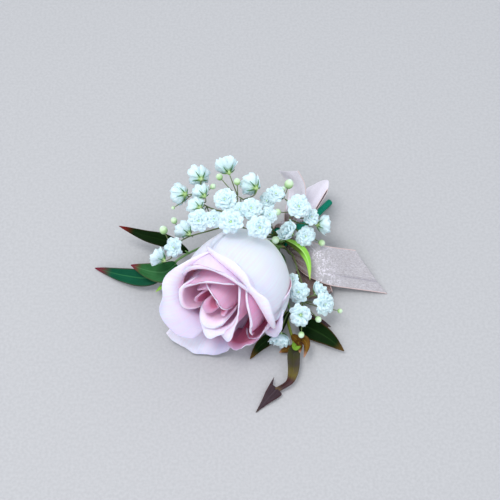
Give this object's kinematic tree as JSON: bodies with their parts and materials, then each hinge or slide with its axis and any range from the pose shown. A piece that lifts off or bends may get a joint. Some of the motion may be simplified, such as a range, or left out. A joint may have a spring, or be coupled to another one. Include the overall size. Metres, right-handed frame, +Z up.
{
  "type": "boutonniere",
  "caption": "Boutonniere lying flat: a rose with gypsophila sprays and leaves on a taped stem, tied with a wide ribbon bow.",
  "frame": {"origin": "under the middle of the whole object, on the surface that it lies on", "axes": "+X along the longest extent, from the left leaf tip towards the cut ribbon tail; +Y towards the stem's cut end; +Z up from the surface"},
  "size_m": [0.1178, 0.1014, 0.049],
  "materials": {
    "rose_petals": "soft satin",
    "green_stem": "satin",
    "floral_tape": "waxy crepe",
    "stem_wire": "drawn",
    "gypsophila": "matt",
    "dark_leaf": "satin",
    "lime_leaf": "satin",
    "red_leaf": "satin",
    "ribbon": "sheer satin weave"
  },
  "bodies": {
    "root": {"rose_bloom": "rose_petals", "rose_stem": "green_stem", "floral_tape": "floral_tape", "stem_wire": "stem_wire", "gypsophila_left": "gypsophila", "gypsophila_upper_left": "gypsophila", "gypsophila_top": "gypsophila", "gypsophila_right": "gypsophila", "gypsophila_lower": "gypsophila", "leaf_sprig_left": "dark_leaf", "leaf_sprig_lower": "dark_leaf", "lime_leaf": "lime_leaf", "bract_twig": "red_leaf", "ribbon_knot": "ribbon", "ribbon_tail_right": "ribbon", "ribbon_tail_upper": "ribbon", "ribbon_loop_upper": "ribbon", "ribbon_loop_lower": "ribbon"}
  },
  "joints": []
}
